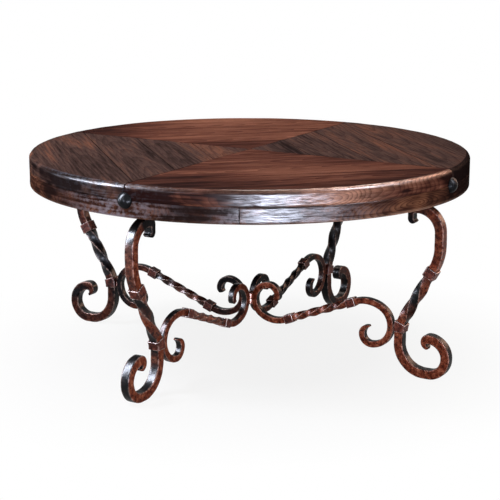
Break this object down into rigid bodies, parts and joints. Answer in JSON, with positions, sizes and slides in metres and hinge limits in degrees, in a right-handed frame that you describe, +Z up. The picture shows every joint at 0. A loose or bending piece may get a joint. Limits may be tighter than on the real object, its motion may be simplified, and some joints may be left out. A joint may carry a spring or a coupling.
{
  "type": "round coffee table",
  "caption": "Round coffee table: a planked wooden top with mitred wedges on a thick rim, carried by scrolled, twisted square-bar iron legs that curled stretchers tie at the middle.",
  "frame": {"origin": "on the floor, under the middle of the top", "axes": "+Z up; the legs stand on +X (right), +Y (back), -X (left) and -Y (front)"},
  "size_m": [1.093, 1.093, 0.505],
  "materials": {
    "board_warm": "satin",
    "board_dark": "satin",
    "rim_wood": "satin",
    "batten_wood": "matt",
    "forged_iron": "rust patina, waxed",
    "collar_iron": "rust patina, worn edges",
    "black_iron": "hammered, blackened",
    "weld_metal": "weld bead",
    "screw_steel": "zinc plated"
  },
  "bodies": {
    "root": {"board_right_1": "board_dark", "board_right_2": "board_dark", "board_right_3": "board_dark", "board_right_4": "board_dark", "board_back_1": "board_warm", "board_back_2": "board_warm", "board_back_3": "board_warm", "board_back_4": "board_warm", "board_left_1": "board_dark", "board_left_2": "board_dark", "board_left_3": "board_dark", "board_left_4": "board_dark", "board_front_1": "board_warm", "board_front_2": "board_warm", "board_front_3": "board_warm", "board_front_4": "board_warm", "rim_segment_right": "rim_wood", "stud_right": "black_iron", "leg_right": "forged_iron", "leg_collar_upper_right": "collar_iron", "leg_collar_lower_right": "collar_iron", "stretcher_right": "forged_iron", "stretcher_collar_outer_right": "collar_iron", "stretcher_collar_inner_right": "collar_iron", "mounting_plate_right": "forged_iron", "rim_segment_back": "rim_wood", "stud_back": "black_iron", "leg_back": "forged_iron", "leg_collar_upper_back": "collar_iron", "leg_collar_lower_back": "collar_iron", "stretcher_back": "forged_iron", "stretcher_collar_outer_back": "collar_iron", "stretcher_collar_inner_back": "collar_iron", "mounting_plate_back": "forged_iron", "rim_segment_left": "rim_wood", "stud_left": "black_iron", "leg_left": "forged_iron", "leg_collar_upper_left": "collar_iron", "leg_collar_lower_left": "collar_iron", "stretcher_left": "forged_iron", "stretcher_collar_outer_left": "collar_iron", "stretcher_collar_inner_left": "collar_iron", "mounting_plate_left": "forged_iron", "rim_segment_front": "rim_wood", "stud_front": "black_iron", "leg_front": "forged_iron", "leg_collar_upper_front": "collar_iron", "leg_collar_lower_front": "collar_iron", "stretcher_front": "forged_iron", "stretcher_collar_outer_front": "collar_iron", "stretcher_collar_inner_front": "collar_iron", "mounting_plate_front": "forged_iron", "batten_long": "batten_wood", "batten_cross": "batten_wood", "batten_screws": "screw_steel", "plate_screws": "screw_steel", "collar_welds": "weld_metal", "centre_weld": "weld_metal"}
  },
  "joints": []
}
